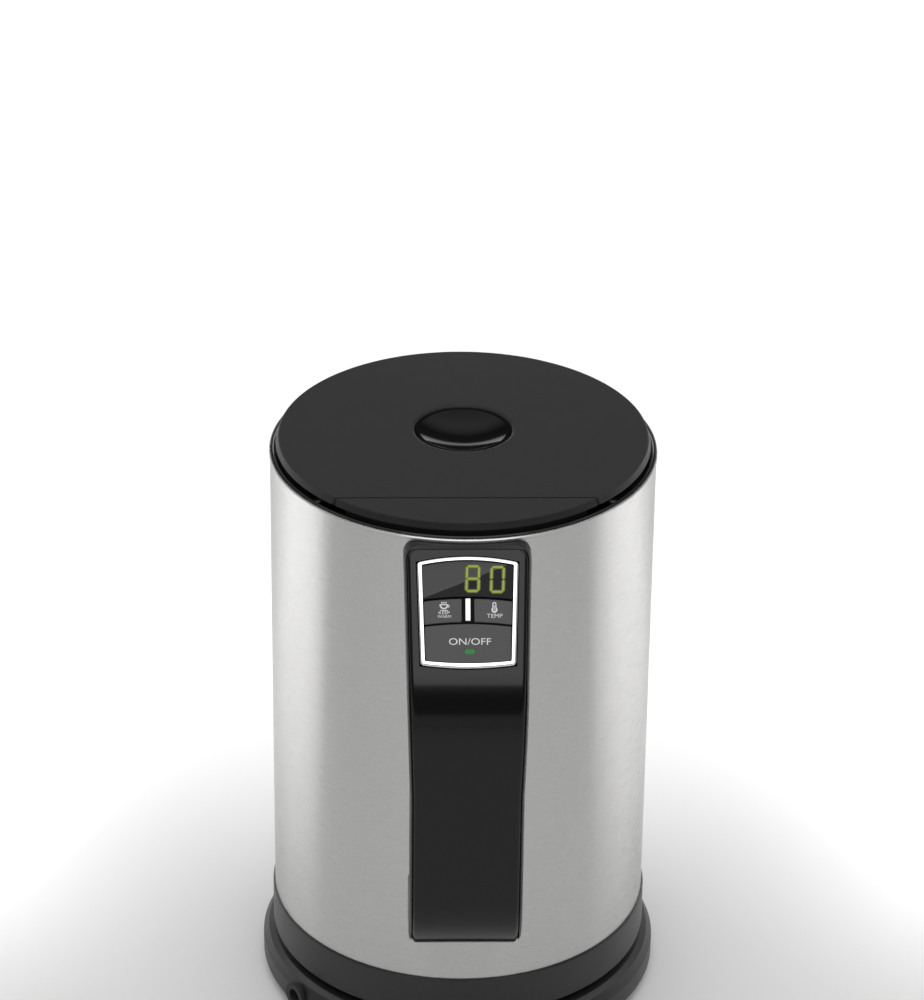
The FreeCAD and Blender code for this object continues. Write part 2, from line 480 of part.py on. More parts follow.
def lid():
    plug_join = RIM_Z - 3.6           # where the cover's wall meets the plug's
    bolt_way = block(-6.6, 6.6, 50, 80, RIM_Z - 8.2, RIM_Z - 2.8)
    # deep wall that keys into the plug, and the guide sleeve round the button
    wall_top = LID_TOP - LID_SKIN + 0.1
    hull = turned([(PLUG_R[0] - 2.2, plug_join), (PLUG_R[0], plug_join), (PLUG_R[0] + 0.2, wall_top),
                   (PLUG_R[0] - 2.2, wall_top)])
    hull = hull.common(block(-80, 80, HINGE_Y + 6.5, 80, 200, 260)).cut(bolt_way)
    sleeve = Part.makeCylinder(BUTTON_R + 2.2, 7.9, V(0, BUTTON_Y, LID_TOP - 8.4))
    bore_r = BUTTON_R + 0.25
    skin = fused(lid_skin(), hull, sleeve).cut(Part.makeCylinder(bore_r, 60, V(0, BUTTON_Y, 200)))
    mouth = [e for e in skin.Edges if abs(e.BoundBox.ZMin - LID_TOP) < 0.01
             and abs(e.BoundBox.XLength - 2 * bore_r) < 0.5]
    skin = skin.makeFillet(1.5, mouth)

    # plug: a pan below the cover that closes the lid's underside
    t = 1.6
    pan_top = plug_join - 0.05
    pan = turned([(0, PLUG_Z), (PLUG_R[1] - 1.5, PLUG_Z), (PLUG_R[1], PLUG_Z + 1.5),
                  (PLUG_R[0] - 0.2, pan_top), (PLUG_R[0] - 0.2 - t, pan_top), (PLUG_R[1] - t, PLUG_Z + t + 1),
                  (PLUG_R[1] - t - 1, PLUG_Z + t), (0, PLUG_Z + t)])
    rear_y = HINGE_Y + 6.6
    back_wall = turned([(0, PLUG_Z), (PLUG_R[1], PLUG_Z + 1.5), (PLUG_R[0] - 0.4, pan_top), (0, pan_top)])
    back_wall = back_wall.common(block(-80, 80, rear_y, rear_y + t, 200, 260))
    groove = ring(PLUG_R[0] - 1.5, PLUG_R[0] + 2, RIM_Z - 11.2, RIM_Z - 8.8)
    stem_guide = Part.makeCylinder(6.5, 4.5, V(0, BUTTON_Y, PLUG_Z + t - 0.1))
    stem_guide = stem_guide.cut(Part.makeCylinder(4.6, 6, V(0, BUTTON_Y, PLUG_Z + t)))
    rails = [block(s * 8.2 - 1.2, s * 8.2 + 1.2, 30, 58, PLUG_Z + t - 0.1, RIM_Z - 7.9) for s in (-1, 1)]
    post = block(-2.0, 2.0, SPRING_POST_Y, SPRING_POST_Y + 2.4, PLUG_Z + t - 0.1, RIM_Z - 4.2)
    pan = fused(pan.common(block(-80, 80, rear_y, 80, 200, 260)), back_wall, stem_guide, post, *rails)
    screw_holes = [Part.makeCylinder(1.35, 8, V(x, y, PLUG_Z - 1)) for x, y in LID_SCREWS]
    head_seats = [Part.makeCylinder(2.75, 1.0, V(x, y, PLUG_Z - 0.01)) for x, y in LID_SCREWS]
    keep("lid_underside", solid_of(cut(pan, groove, bolt_way, *screw_holes, *head_seats)))

    for x, y in LID_SCREWS:
        post = Part.makeCylinder(2.6, LID_TOP - LID_SKIN - PLUG_Z - t + 0.1, V(x, y, PLUG_Z + t + 0.01))
        skin = skin.fuse(post.cut(Part.makeCylinder(1.1, 9, V(x, y, PLUG_Z + t))))
    keep("lid_cover", solid_of(skin))
    keep("lid_screws", group([screw(x, y, PLUG_Z + 0.98, 8.0, 1.08) for x, y in LID_SCREWS]))

    root, edge = PLUG_R[0] - 1.45, MOUTH_R - 0.5
    seal = turned([(root, RIM_Z - 11.1), (edge - 0.5, RIM_Z - 11.1), (edge, RIM_Z - 10.4),
                   (edge, RIM_Z - 9.9), (edge - 0.5, RIM_Z - 8.9), (root, RIM_Z - 8.9)])
    keep("lid_seal", solid_of(seal.common(block(-80, 80, rear_y + 0.1, 80, 200, 260))))

    lid_button_and_latch()


def lid_button_and_latch():
    """The dished push button, its spring, and the bolt that it draws back."""
    top = LID_TOP - 0.9
    dish_r = 46.0
    cap = Part.makeCylinder(BUTTON_R, 4.6, V(0, BUTTON_Y, top - 4.6))
    cap = cap.cut(Part.makeSphere(dish_r, V(0, BUTTON_Y, top - 3.3 + dish_r)))
    cap = cap.makeFillet(0.35, [e for e in cap.Edges if e.BoundBox.ZMin > top - 0.6])
    stem = Part.makeCylinder(4.3, 9.9, V(0, BUTTON_Y, top - 13.8))
    stem = cut(stem, Part.makeCylinder(3.0, 7.2, V(0, BUTTON_Y, top - 13.9)))
    # the wedge's sloping side draws the bolt back by as much as the button goes down
    slide_top = RIM_Z - 3.4
    near = BUTTON_Y + 12.0
    cam = [(near - 3, slide_top + 3), (near - 3, top - 4), (near + 4.5, top - 4),
           (near + 4.5, slide_top - 3.6), (near + 3.6, slide_top - 3.6)]
    wedge = Part.Face(Part.makePolygon([V(-2.4, y, z) for y, z in cam + cam[:1]])).extrude(V(4.8, 0, 0))
    keep("lid_button", solid_of(fused(cap, stem, wedge)))
    keep("button_spring", coil(2.2, 0.7, 1.55, 9.2, V(0, BUTTON_Y, PLUG_Z + 2.0)))
    # bolt: a flat slide with a window for the wedge, another for its spring, and a rounded nose
    z0, z1 = slide_top - 4.2, slide_top
    nose_y = MOUTH_R + 1.4
    slide = block(-5.8, 5.8, BUTTON_Y + 7.8, nose_y, z0, z1)
    nose = [e for e in slide.Edges if abs(e.CenterOfMass.y - nose_y) < 0.01 and abs(e.CenterOfMass.x) < 0.1]
    slide = slide.makeFillet(1.6, nose)
    windows = [block(-3.0, 3.0, near - 0.3, near + 8.0, z0 - 1, z1 + 1),
               block(-2.7, 2.7, SPRING_POST_Y - 0.4, SPRING_POST_Y + 16.4, z0 - 1, z1 + 1)]
    keep("lid_latch", solid_of(cut(slide, *windows)))
    spring = coil(1.7, 0.6, 1.35, 13.3, V(0, 0, 0))
    spring.rotate(V(0, 0, 0), X_AXIS, -90)
    spring.translate(V(0, SPRING_POST_Y + 2.75, (z0 + z1) / 2))
    keep("latch_spring", spring)
    keep("latch_keeper", block(-6.25, 6.25, MOUTH_R + 0.4, MOUTH_R + 2.55, RIM_Z - 3.1, RIM_Z - 2.3))


# ---- handle ----
def along(base, normal, length):
    return (base[0] + normal[0] * length, base[1] + normal[1] * length)


def handle_path(depth):
    """The handle's outer line in the YZ plane, moved inwards by depth: panel, bend, grip, lower bend."""
    t = math.radians(TILT)
    out = (-math.cos(t), math.sin(t))
    slope = (-math.sin(t), -math.cos(t))
    p0 = along(PANEL_TOP, out, -depth)
    p1 = along(p0, slope, PANEL_L)
    centre = along(p1, out, -(BEND_R - depth))
    mid_a = math.radians(180 - TILT / 2)
    r = BEND_R - depth
    mid = (centre[0] + r * math.cos(mid_a), centre[1] + r * math.sin(mid_a))
    p2 = (centre[0] - r, centre[1])
    p3 = (p2[0], GRIP_LOW_Z)
    r2 = FOOT_R - depth
    c2 = (p3[0] + r2, GRIP_LOW_Z)
    a = math.radians(180 + FOOT_SWEEP / 2)
    mid2 = (c2[0] + r2 * math.cos(a), c2[1] + r2 * math.sin(a))
    a = math.radians(180 + FOOT_SWEEP)
    p4 = (c2[0] + r2 * math.cos(a), c2[1] + r2 * math.sin(a))
    p0, p1, mid, p2, p3, mid2, p4 = [V(0, y, z) for y, z in (p0, p1, mid, p2, p3, mid2, p4)]
    edges = [Part.LineSegment(p0, p1).toShape(), Part.Arc(p1, mid, p2).toShape(),
             Part.LineSegment(p2, p3).toShape(), Part.Arc(p3, mid2, p4).toShape()]
    return edges, p0, p4


def extruded(edges, half_width):
    face = Part.Face(Part.Wire(edges))
    face.translate(V(-half_width, 0, 0))
    return face.extrude(V(2 * half_width, 0, 0))


def lines(points):
    return [Part.LineSegment(a, b).toShape() for a, b in zip(points, points[1:])]


def width_slab(inset, top_z):
    """Everything between the handle's two tapering sides, moved in by inset, with rounded top corners."""
    top, low = HANDLE_W[0] / 2 - inset, HANDLE_W[1] / 2 - inset
    corners = [(-low, 40), (low, 40), (low, TAPER_Z), (top, top_z), (-top, top_z), (-low, TAPER_Z)]
    width = Part.Face(Part.makePolygon([V(x, -140, z) for x, z in corners + corners[:1]])).extrude(V(0, 80, 0))
    upper = [e for e in width.Edges if e.CenterOfMass.z > top_z - 0.01 and abs(e.tangentAt(0).y) > 0.9]
    return width.makeFillet(TOP_CORNER - inset, upper)


def gap_profile():
    """The finger opening between the grip and the body."""
    y = GRIP_Y + GRIP_T
    r, top, low = 12.0, 190.0, 92.0
    up = [V(0, -70, top + 12), V(0, -88, top), V(0, y + r, top)]
    k = r * math.sqrt(0.5)
    c1, c2 = (y + r, top - r), (y + r, low + r)
    edges = lines(up)
    edges.append(Part.Arc(V(0, y + r, top), V(0, c1[0] - k, c1[1] + k), V(0, y, top - r)).toShape())
    edges += lines([V(0, y, top - r), V(0, y, low + r)])
    edges.append(Part.Arc(V(0, y, low + r), V(0, c2[0] - k, c2[1] - k), V(0, y + r, low)).toShape())
    edges += lines([V(0, y + r, low), V(0, -88, low), V(0, -70, low - 6), V(0, -70, top + 12)])
    return edges


def handle():
    path, p0, p4 = handle_path(0.0)
    low = V(0, -(BODY_R - 3), p4.z - 8.4)
    outline = path + lines([p4, low, V(0, low.y, RIM_Z - 0.9), V(0, -(BODY_R + 0.5), RIM_Z - 1.3), p0])
    gap = extruded(gap_profile(), 60)
    solid = extruded(outline, 60).common(width_slab(0, HANDLE_TOP)).cut(gap)
    body_tube = Part.makeCylinder(BODY_R + 0.05, 300)
    lip = Part.makeCylinder(LIP_R + 0.05, 30, V(0, 0, RIM_Z - LIP_H - 0.05))
    solid = solid_of(cut(solid, body_tube, lip))

    def long_side(e):
        c = e.CenterOfMass
        return abs(c.x) > 18 and e.BoundBox.XLength < 4 and e.Length > 12 and c.y < -(BODY_R + 3)
    solid = solid.makeFillet(2.6, [e for e in solid.Edges if long_side(e)])
    # recess for the fascia and the channel behind it
    recess_edges, r0, r4 = handle_path(FASCIA_T)
    path_out, q0, q4 = handle_path(-3.0)
    recess = recess_edges + lines([r4, q4]) + path_out[::-1] + lines([q0, r0])
    recess = extruded(sorted_edges(recess), 60).common(width_slab(0.9, HANDLE_TOP))
    grip_in = GRIP_Y + GRIP_T - 2.6
    channel, c0, _ = handle_path(FASCIA_T - 0.5)
    back = [V(0, grip_in, GRIP_LOW_Z), V(0, grip_in, 180.0), V(0, -100.6, 188.4), V(0, -93.1, 193.8),
            V(0, -(BODY_R + 2.0), 212.9), V(0, -(BODY_R + 2.0), c0.z - 0.6), c0]
    cavity = channel[:3] + lines([channel[2].Vertexes[-1].Point] + back)
    cavity = extruded(sorted_edges(cavity), 60).common(width_slab(3.2, HANDLE_TOP))
    spots = [(x, z) for x in (-SCREW_X, SCREW_X) for z in SCREW_Z]
    bosses = [Part.makeCylinder(3.6, 10.5, V(x, -(BODY_R - 2), SCREW_Z[0]), -Y_AXIS)
              for x in (-SCREW_X, SCREW_X)]
    holes = [Part.makeCylinder(1.4, 10.5, V(x, -(BODY_R - 3), z), -Y_AXIS) for x, z in spots]
    solid = cut(fused(*bosses, cut(solid, recess, cavity)), body_tube, *holes)
    keep("handle_shell", max(solid.Solids, key=lambda piece: piece.Volume))
    keep("handle_fascia", fascia())


def fascia():
    """The glossy strip down the handle's outside: it follows the bend, and has the panel's window in it."""
    outer, f0, f4 = handle_path(-FASCIA_PROUD)
    inner, g0, g4 = handle_path(FASCIA_T - 0.05)
    strip = outer + lines([f4, g4]) + inner[::-1] + lines([g0, f0])
    plate = extruded(sorted_edges(strip), 60).common(width_slab(1.15, HANDLE_TOP - 0.25))
    plate = solid_of(plate.cut(panel_local(Part.makeBox(80, 20, 20, V(-40, -0.25, -10)))))
    face_line = Part.Wire(sorted_edges(handle_path(-FASCIA_PROUD)[0]))

    def front_edge(e):
        c = e.CenterOfMass
        near_face = face_line.distToShape(Part.Vertex(V(0, c.y, c.z)))[0] < 0.6
        return abs(c.x) > 15 and e.BoundBox.XLength < 4 and e.Length > 10 and near_face
    plate = plate.makeFillet(FASCIA_EDGE, [e for e in plate.Edges if front_edge(e)])
    window = panel_local(slab(bezel_outline(0.35), -6, 2))
    return solid_of(plate.cut(window))


def sorted_edges(edges):
    return Part.__sortEdges__(edges)


# ---- control panel, drawn flat: x across, y up the slope, z out of the face ----
def panel_local(shape):
    """Moves a shape from the panel's own axes to the handle."""
    shape = shape.copy()
    shape.rotate(V(0, 0, 0), X_AXIS, 90 - TILT)
    shape.translate(V(0, *PANEL_TOP))
    return shape


BEZEL_TOP, BEZEL_LOW = -4.6, -43.8     # its corners, down the slope
BEZEL_HALF = (18.95, 17.75)            # half width at the top and at the foot
BEZEL_ARCH = (1.8, 1.2)                # rise of the top edge and drop of the foot
RIM_W = 1.7
ROW_Y = (-19.5, -29.0)                 # the two seams between display, small buttons and large button
ROW_ARCH = 1.18
GAP = 0.35                             # half a seam between two caps
LIGHT_Y = -38.5                        # the power light, on the large button


def half_at(y, inset=0.0):
    k = (BEZEL_TOP - y) / (BEZEL_TOP - BEZEL_LOW)
    return BEZEL_HALF[0] + (BEZEL_HALF[1] - BEZEL_HALF[0]) * k - inset


def bowed(x0, x1, y_end, rise):
    """An arc from x0 to x1, part of one wide bow whose ends at the panel's sides are at y_end."""
    span = BEZEL_HALF[0] - RIM_W
    a, m, b = [V(x, y_end + rise * (1 - (x / span) ** 2), 0) for x in (x0, (x0 + x1) / 2, x1)]
    return Part.Arc(a, m, b).toShape(), a.y, b.y


def cell(x0, x1, y_top, top_rise, y_low, low_rise, inset_left=None, inset_right=None):
    """A flat face bounded by two bowed edges. Its sides are at x0 and x1, or, where an inset is given, they
    follow the panel's slanting sides at that inset."""
    tl = x0 if inset_left is None else -half_at(y_top, inset_left)
    tr = x1 if inset_right is None else half_at(y_top, inset_right)
    bl = x0 if inset_left is None else -half_at(y_low, inset_left)
    br = x1 if inset_right is None else half_at(y_low, inset_right)
    top, ytl, ytr = bowed(tl, tr, y_top, top_rise)
    low, ybl, ybr = bowed(bl, br, y_low, low_rise)
    sides = lines([V(tl, ytl, 0), V(bl, ybl, 0)]) + lines([V(tr, ytr, 0), V(br, ybr, 0)])
    return Part.Face(Part.Wire(sorted_edges([top, low] + sides)))


def bezel_outline(grow=0.0):
    return cell(0, 0, BEZEL_TOP + grow, BEZEL_ARCH[0], BEZEL_LOW - grow, -BEZEL_ARCH[1], -grow, -grow)


def slab(face, z0, z1):
    return face.extrude(V(0, 0, z1 - z0)).translated(V(0, 0, z0))


def rounded_slab(face, z0, z1, corner, edge):
    """A plate with rounded corners and a softened front edge."""
    s = slab(face, z0, z1)
    s = s.makeFillet(corner, [e for e in s.Edges if e.BoundBox.ZLength > 0.9 * (z1 - z0)])
    return s.makeFillet(edge, [e for e in s.Edges if e.BoundBox.ZMin > z1 - 0.01]) if edge else s


def control_panel():
    foot_arch = 0.2 - BEZEL_ARCH[1]
    opening = cell(0, 0, BEZEL_TOP - RIM_W + 0.35, BEZEL_ARCH[0], BEZEL_LOW + RIM_W, foot_arch, RIM_W, RIM_W)
    bezel = rounded_slab(bezel_outline(), -2.0, 1.25, 1.6, 0.8)
    keep("panel_bezel", solid_of(panel_local(bezel.cut(rounded_slab(opening, -4, 4, 0.6, 0)))))

    # the frame fills the bezel's opening and has a flange under the bezel
    side = RIM_W + 0.12
    top_y, low_y = BEZEL_TOP - RIM_W + 0.2, BEZEL_LOW + RIM_W + 0.12
    tray = rounded_slab(cell(0, 0, top_y, BEZEL_ARCH[0], low_y, foot_arch, side, side), -3.6, -0.5, 0.5, 0)
    tray = fused(tray, slab(bezel_outline(), -3.6, -2.05))

    cap_side = side + 0.15
    bar_half = 2.3
    rows = [(y + GAP, y - GAP) for y in ROW_Y]
    lens_face = cell(0, 0, top_y - 0.1, BEZEL_ARCH[0], rows[0][0], ROW_ARCH, side, side)
    small_l = cell(0, -bar_half, rows[0][1], ROW_ARCH, rows[1][0], ROW_ARCH, cap_side, None)
    small_r = cell(bar_half, 0, rows[0][1], ROW_ARCH, rows[1][0], ROW_ARCH, None, cap_side)
    large = cell(0, 0, rows[1][1], ROW_ARCH, low_y + 0.15, foot_arch, cap_side, cap_side)
    buttons = {"keep_warm_button": small_l, "temp_button": small_r, "power_button": large}
    play = 0.18
    for face in buttons.values():
        tray = tray.cut(slab(face.makeOffset2D(play), -5, 1))
    tray = tray.cut(slab(lens_face.makeOffset2D(0.15), -1.9, 1))
    tray = tray.cut(block(-15.5, 15.5, -17.6, -7.2, -5, 0))          # daylight for the digits
    bar_y = (ROW_Y[1] + 1.9, ROW_Y[0] + 1.0)
    bar = block(-1.1, 1.1, *bar_y, -1.6, 0.55)
    tray = tray.cut(block(-1.15, 1.15, bar_y[0] - 0.05, bar_y[1] + 0.05, -1.65, 1))
    keep("button_frame", solid_of(panel_local(tray)))
    keep("divider_bar", panel_local(bar.makeFillet(0.4, [e for e in bar.Edges if e.BoundBox.ZMin > 0.5])))
    keep("display_lens", panel_local(rounded_slab(lens_face, -1.85, 0.25, 0.4, 0.2)))

    for name, face in buttons.items():
        cap = rounded_slab(face, -3.7, 0.35, 0.45, 0.3)
        flange = slab(face.makeOffset2D(0.28), -4.5, -3.7)
        c = face.CenterOfMass
        body = fused(cap, flange, Part.makeCylinder(1.5, 1.4, V(c.x, c.y, -5.6)))
        if name == "power_button":
            x, y = 0.6, LIGHT_Y
            body = body.cut(block(x - 2.0, x + 2.0, y - 1.0, y + 1.0, -1.0, 1))
            light = block(x - 1.95, x + 1.95, y - 0.95, y + 0.95, -0.98, 0.4)
            light = light.makeFillet(0.7, [e for e in light.Edges if e.BoundBox.ZLength > 1])
            keep("power_light", panel_local(light))
        keep(name, solid_of(panel_local(body)))
    panel_electronics([face.CenterOfMass for face in buttons.values()])


def panel_electronics(button_centres):
    """The display, the board that carries it, the keys' switches and the buzzer."""
    face_z, back_z = -10.2, -11.8        # the board's two faces
    keep("display_module", panel_local(block(-14.0, 14.8, -17.3, -7.3, -7.2, -2.2)))
    keep("control_board", panel_local(block(-16.2, 16.2, -44.0, -13.8, back_z, face_z)))
    pins = [Part.makeCylinder(0.35, -7.2 - face_z, V(-10 + 2.54 * i, -15.4, face_z)) for i in range(9)]
    keep("display_pins", group([panel_local(p) for p in pins]))
    switches = []
    for c in button_centres:
        body = block(c.x - 3, c.x + 3, c.y - 3, c.y + 3, face_z, -7.2)
        switches.append(panel_local(fused(body, Part.makeCylinder(1.7, 0.65, V(c.x, c.y, -7.2)))))
    keep("tact_switches", group(switches))
    keep("buzzer", panel_local(Part.makeCylinder(4.2, 2.6, V(0, -24.0, back_z - 2.6))))


def handle_hardware():
    screws = []
    for x in (-SCREW_X, SCREW_X):
        for z in SCREW_Z:
            s = screw(0, 0, 0, 9.0, 1.38)
            s.rotate(V(0, 0, 0), X_AXIS, 90)
            s.translate(V(x, -(BODY_R - 3.03), z))
            screws.append(s)
    keep("handle_screws", group(screws))
    plates = []
    for z in SCREW_Z:
        p = ring(BODY_R - WALL - 1.25, BODY_R - WALL - 0.05, z - 6, z + 6)
        p = p.common(block(-15, 15, -90, -60, z - 6, z + 6))
        for x in (-SCREW_X, SCREW_X):
            p = p.cut(Part.makeCylinder(1.6, 12, V(x, -82, z), Y_AXIS))
        plates.append(p)
    keep("handle_backing_plates", group(plates))


def main():
    power_base()
    base_connector()
    kettle_underside()
    vessel()
    collar()
    keep("hinge_springs", group([torsion_spring(-15.0), torsion_spring(6.5)]))
    lid()
    handle()
    control_panel()
    handle_hardware()
    os.makedirs("parts", exist_ok=True)
    for old in os.listdir("parts"):
        os.remove(os.path.join("parts", old))
    for name, shape in PARTS.items():
        bad = [s for s in shape.Solids if not s.isValid() or s.Volume <= 0]
        if bad or not shape.Solids:
            print("PROBLEM", name, len(shape.Solids), "solids,", len(bad), "bad")
        shape.exportStep(f"parts/{name}.step")
    print(len(PARTS), "nodes written")


main()
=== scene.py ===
"""Looks for the cordless electric kettle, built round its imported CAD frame."""
import json
import math

import bmesh
import bpy
from mathutils import Matrix, Vector


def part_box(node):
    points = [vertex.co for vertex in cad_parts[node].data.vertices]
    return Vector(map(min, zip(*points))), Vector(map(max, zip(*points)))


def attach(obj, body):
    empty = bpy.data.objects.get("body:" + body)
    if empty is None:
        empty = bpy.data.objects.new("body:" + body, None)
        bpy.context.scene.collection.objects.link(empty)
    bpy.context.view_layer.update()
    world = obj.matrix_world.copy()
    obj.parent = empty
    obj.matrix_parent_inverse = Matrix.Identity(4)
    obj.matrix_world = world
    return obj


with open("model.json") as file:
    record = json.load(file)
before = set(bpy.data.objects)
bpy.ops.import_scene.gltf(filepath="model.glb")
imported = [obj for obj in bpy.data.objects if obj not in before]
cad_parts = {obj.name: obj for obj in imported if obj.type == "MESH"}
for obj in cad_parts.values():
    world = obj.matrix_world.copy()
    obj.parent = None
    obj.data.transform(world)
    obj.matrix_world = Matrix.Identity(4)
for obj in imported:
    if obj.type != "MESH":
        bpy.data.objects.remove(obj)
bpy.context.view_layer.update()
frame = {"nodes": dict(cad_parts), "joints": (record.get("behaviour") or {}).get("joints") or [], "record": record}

MM = 0.001

# ---------------------------------------------------------------- camera
CAMERA_AT = Vector((-0.0372, -1.42067, 0.98119))
CAMERA_AIM = Vector((-0.000247, 0.0, 0.21224))
CAMERA_ROLL = 0.0117870
LENS_MM = 148.92


def add_camera():
    ahead = (CAMERA_AIM - CAMERA_AT).normalized()
    right = ahead.cross(Vector((0, 0, 1))).normalized()
    up = right.cross(ahead)
    c, s = math.cos(CAMERA_ROLL), math.sin(CAMERA_ROLL)
    x_axis, y_axis = right * c + up * s, up * c - right * s
    data = bpy.data.cameras.new("camera")
    data.sensor_width = 36.0
    data.lens = LENS_MM
    data.clip_start, data.clip_end = 0.05, 120.0
    camera = bpy.data.objects.new("camera", data)
    bpy.context.scene.collection.objects.link(camera)
    turn = Matrix((x_axis, y_axis, -ahead)).transposed().to_4x4()
    camera.matrix_world = Matrix.Translation(CAMERA_AT) @ turn
    bpy.context.scene.camera = camera


# ---------------------------------------------------------------- materials
STREAK_LOW, STREAK_HIGH = 0.36, 0.64      # the noise's range that the brushed steel uses
EDGE_TINT = (0.7, 0.7, 0.7, 1.0)          # steel mirrors less where it is seen edge on
GLARE_EDGE = ((-14.5, -5.9), (16.0, 6.2))  # slanting edge of the painted glare on the lens face; a paler painted reflection lies above it
GLARE_BLUR = 0.1 * MM


class Nodes:
    """A short way to write a material's node tree."""

    def __init__(self, name):
        self.mat = bpy.data.materials.new(name)
        self.mat.use_nodes = True
        self.tree = self.mat.node_tree
        self.shader = self.tree.nodes["Principled BSDF"]

    def add(self, kind, inputs=None, **props):
        node = self.tree.nodes.new(kind)
        for key, value in props.items():
            setattr(node, key, value)
        for key, value in (inputs or {}).items():
            if isinstance(value, bpy.types.NodeSocket):
                self.tree.links.new(value, node.inputs[key])
            else:
                node.inputs[key].default_value = value
        return node

    def math(self, op, a, b=0.0):
        return self.add("ShaderNodeMath", {0: a, 1: b}, operation=op).outputs[0]

    def remap(self, value, low, high, from_low=0.3, from_high=0.7):
        inputs = {0: value, 1: from_low, 2: from_high, 3: low, 4: high}
        return self.add("ShaderNodeMapRange", inputs).outputs[0]

    def place(self):
        return self.add("ShaderNodeTexCoord").outputs["Object"]

    def noise(self, vector, scale, detail=3.0, rough=0.5):
        inputs = {"Vector": vector, "Scale": scale, "Detail": detail, "Roughness": rough}
        return self.add("ShaderNodeTexNoise", inputs).outputs["Fac"]

    def mix(self, fac, low, high):
        return self.add("ShaderNodeMix", {0: fac, 6: low, 7: high}, data_type="RGBA").outputs[2]

    def tint(self, fac, dark, light):
        return self.mix(fac, (*dark, 1), (*light, 1))

    def bump(self, height, strength, distance):
        inputs = {"Strength": strength, "Distance": distance, "Height": height}
        self.link(self.add("ShaderNodeBump", inputs).outputs[0], "Normal")

    def link(self, output, name):
        self.tree.links.new(output, self.shader.inputs[name])

    def set(self, **values):
        for key, value in values.items():
            self.shader.inputs[key.replace("_", " ")].default_value = value


def shade(rgb, k):
    return tuple(min(1.0, c * k) for c in rgb)


def clouded(name, rgb, rough, vary, cloud, spread):
    """A material whose colour and sheen wander a little, as moulded and rolled surfaces do."""
    n = Nodes(name)
    place = n.place()
    clouds = n.noise(place, cloud, 4.0)
    n.link(n.tint(clouds, shade(rgb, 1 - vary), shade(rgb, 1 + vary)), "Base Color")
    n.link(n.remap(clouds, max(0.02, rough - spread), rough + spread), "Roughness")
    return n, place


def plastic(name, rgb, rough, grain=2600.0, depth=0.02, spread=0.05, vary=0.08, level=0.5):
    """Moulded plastic with a fine surface grain; level is how much it mirrors."""
    n, place = clouded(name, rgb, rough, vary, 30.0, spread)
    if depth:
        n.bump(n.noise(place, grain, 2.0), 0.35, depth * MM)
    n.set(Specular_IOR_Level=level)
    return n.mat


def metal(name, rgb, rough, vary=0.05, spread=0.05, grain=900.0, depth=0.004):
    """Plain or polished metal with a very fine grain."""
    n, place = clouded(name, rgb, rough, vary, 60.0, spread)
    if depth:
        n.bump(n.noise(place, grain, 3.0), 0.3, depth * MM)
    n.set(Metallic=1.0)
    return n.mat


def brushed_round(name, rgb, rough, aniso):
    """Steel brushed round the kettle's axis: fine marks that follow the circumference."""
    n = Nodes(name)
    x, y, z = n.add("ShaderNodeSeparateXYZ", {0: n.place()}).outputs
    angle = n.math("ARCTAN2", x, y)

    def streaks(along, across, detail, roughness):
        spread = n.add("ShaderNodeCombineXYZ", {0: n.math("MULTIPLY", angle, along),
                                                2: n.math("MULTIPLY", z, across)})
        return n.noise(spread.outputs[0], 1.0, detail, roughness)

    fine = streaks(14.0, 5200.0, 4.0, 0.6)
    broad = streaks(5.0, 900.0, 3.0, 0.5)
    both = n.math("ADD", n.math("MULTIPLY", fine, 0.75), n.math("MULTIPLY", broad, 0.25))
    marks = n.remap(both, 0.0, 1.0, STREAK_LOW, STREAK_HIGH)
    n.link(n.tint(marks, shade(rgb, 0.97), shade(rgb, 1.03)), "Base Color")
    n.link(n.remap(both, rough - 0.015, rough + 0.02, STREAK_LOW, STREAK_HIGH), "Roughness")
    n.bump(fine, 0.03, 0.004 * MM)
    n.set(Metallic=1.0, Anisotropic=aniso, Anisotropic_Rotation=0.25, Specular_Tint=EDGE_TINT)
    n.link(n.add("ShaderNodeTangent", direction_type="RADIAL", axis="Z").outputs[0], "Tangent")
    return n.mat


def glass(name, rgb, rough):
    """A clear moulding, hardly tinted."""
    n = Nodes(name)
    clouds = n.noise(n.place(), 40.0)
    n.link(n.remap(clouds, rough, rough + 0.05), "Roughness")
    n.link(n.tint(clouds, shade(rgb, 0.97), rgb), "Base Color")
    n.set(Transmission_Weight=0.92, IOR=1.49)
    return n.mat


def glow(name, rgb, strength, body=0.28):
    """A lit plastic light guide, a little uneven in brightness."""
    n = Nodes(name)
    fac = n.noise(n.place(), 900.0)
    n.link(n.tint(fac, shade(rgb, 0.8), rgb), "Emission Color")
    n.link(n.tint(fac, shade(rgb, body * 0.9), shade(rgb, body)), "Base Color")
    n.set(Emission_Strength=strength, Roughness=0.4)
    return n.mat


def smoked_window_painted_glare(name, lens):
    """The display's smoked window, with a painted reflection: a paler painted glare covers it above a slanting
    edge.
    """
    n, place = clouded(name, (0.012, 0.012, 0.013), 0.07, 0.05, 30.0, 0.015)
    left, right = [lens.point(*corner) for corner in GLARE_EDGE]
    across_edge = lens.out.cross(right - left).normalized()
    reach = n.add("ShaderNodeVectorMath", {0: place, 1: across_edge}, operation="DOT_PRODUCT")
    start = left.dot(across_edge)
    # mask of the painted glare: the paler painted reflection above the slanting edge, the dark lens below
    glare_mask = n.remap(reach.outputs["Value"], 0.0, 1.0, start - GLARE_BLUR, start + GLARE_BLUR)
    cloud = n.noise(place, 60.0)
    dark = n.tint(cloud, (0.004, 0.004, 0.006), (0.006, 0.006, 0.008))
    # the paler tone of the painted glare, a painted reflection rather than the lens's own colour
    pale = n.tint(cloud, (0.068, 0.068, 0.069), (0.076, 0.076, 0.077))
    n.link(n.mix(glare_mask, dark, pale), "Base Color")
    n.set(Specular_IOR_Level=0.12)
    return n.mat


